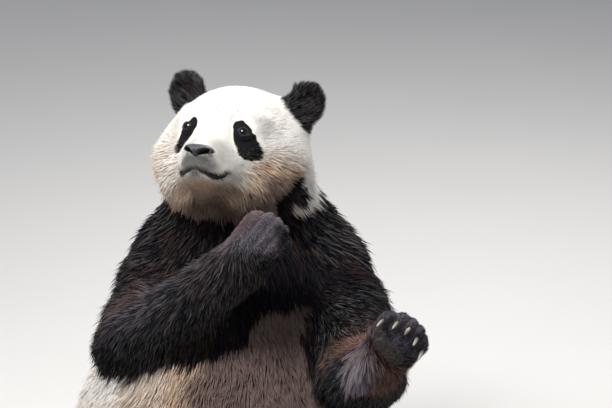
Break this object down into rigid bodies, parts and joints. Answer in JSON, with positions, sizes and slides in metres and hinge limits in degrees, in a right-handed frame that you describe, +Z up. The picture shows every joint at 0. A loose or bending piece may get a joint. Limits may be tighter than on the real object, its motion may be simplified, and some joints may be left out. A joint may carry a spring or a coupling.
{
  "type": "giant panda model, seated",
  "caption": "Life-size still model of an adult giant panda sitting up, one forepaw closed before its throat and the other held out beside its belly.",
  "frame": {"origin": "on the floor, in the middle of the base of the whole model's box", "axes": "+Z up, -Y the way its chest faces, +X its own left side"},
  "size_m": [0.821, 0.8488, 0.8917],
  "materials": {
    "white_coat": "long cream-white fur, stained tan on the cheeks and belly",
    "black_coat": "long black fur with a brown tint",
    "nose_leather": "damp pebbled black skin",
    "eye_gloss": "wet dark brown eye",
    "claw_horn": "smooth pale horn"
  },
  "bodies": {
    "root": {"head": "white_coat", "neck": "white_coat", "trunk": "white_coat", "tail": "white_coat", "ear_left": "black_coat", "ear_right": "black_coat", "upper_arm_left": "black_coat", "upper_arm_right": "black_coat", "forearm_left": "black_coat", "forearm_right": "black_coat", "forepaw_left": "black_coat", "forepaw_right": "black_coat", "thigh_left": "black_coat", "thigh_right": "black_coat", "shank_left": "black_coat", "shank_right": "black_coat", "hind_foot_left": "black_coat", "hind_foot_right": "black_coat", "nose": "nose_leather", "eye_left": "eye_gloss", "eye_right": "eye_gloss", "forepaw_left_claw_1": "claw_horn", "forepaw_left_claw_2": "claw_horn", "forepaw_left_claw_3": "claw_horn", "forepaw_left_claw_4": "claw_horn", "forepaw_left_claw_5": "claw_horn", "forepaw_right_claw_1": "claw_horn", "forepaw_right_claw_2": "claw_horn", "forepaw_right_claw_3": "claw_horn", "forepaw_right_claw_4": "claw_horn", "forepaw_right_claw_5": "claw_horn", "hind_foot_left_claw_1": "claw_horn", "hind_foot_left_claw_2": "claw_horn", "hind_foot_left_claw_3": "claw_horn", "hind_foot_left_claw_4": "claw_horn", "hind_foot_left_claw_5": "claw_horn", "hind_foot_right_claw_1": "claw_horn", "hind_foot_right_claw_2": "claw_horn", "hind_foot_right_claw_3": "claw_horn", "hind_foot_right_claw_4": "claw_horn", "hind_foot_right_claw_5": "claw_horn"}
  },
  "joints": []
}
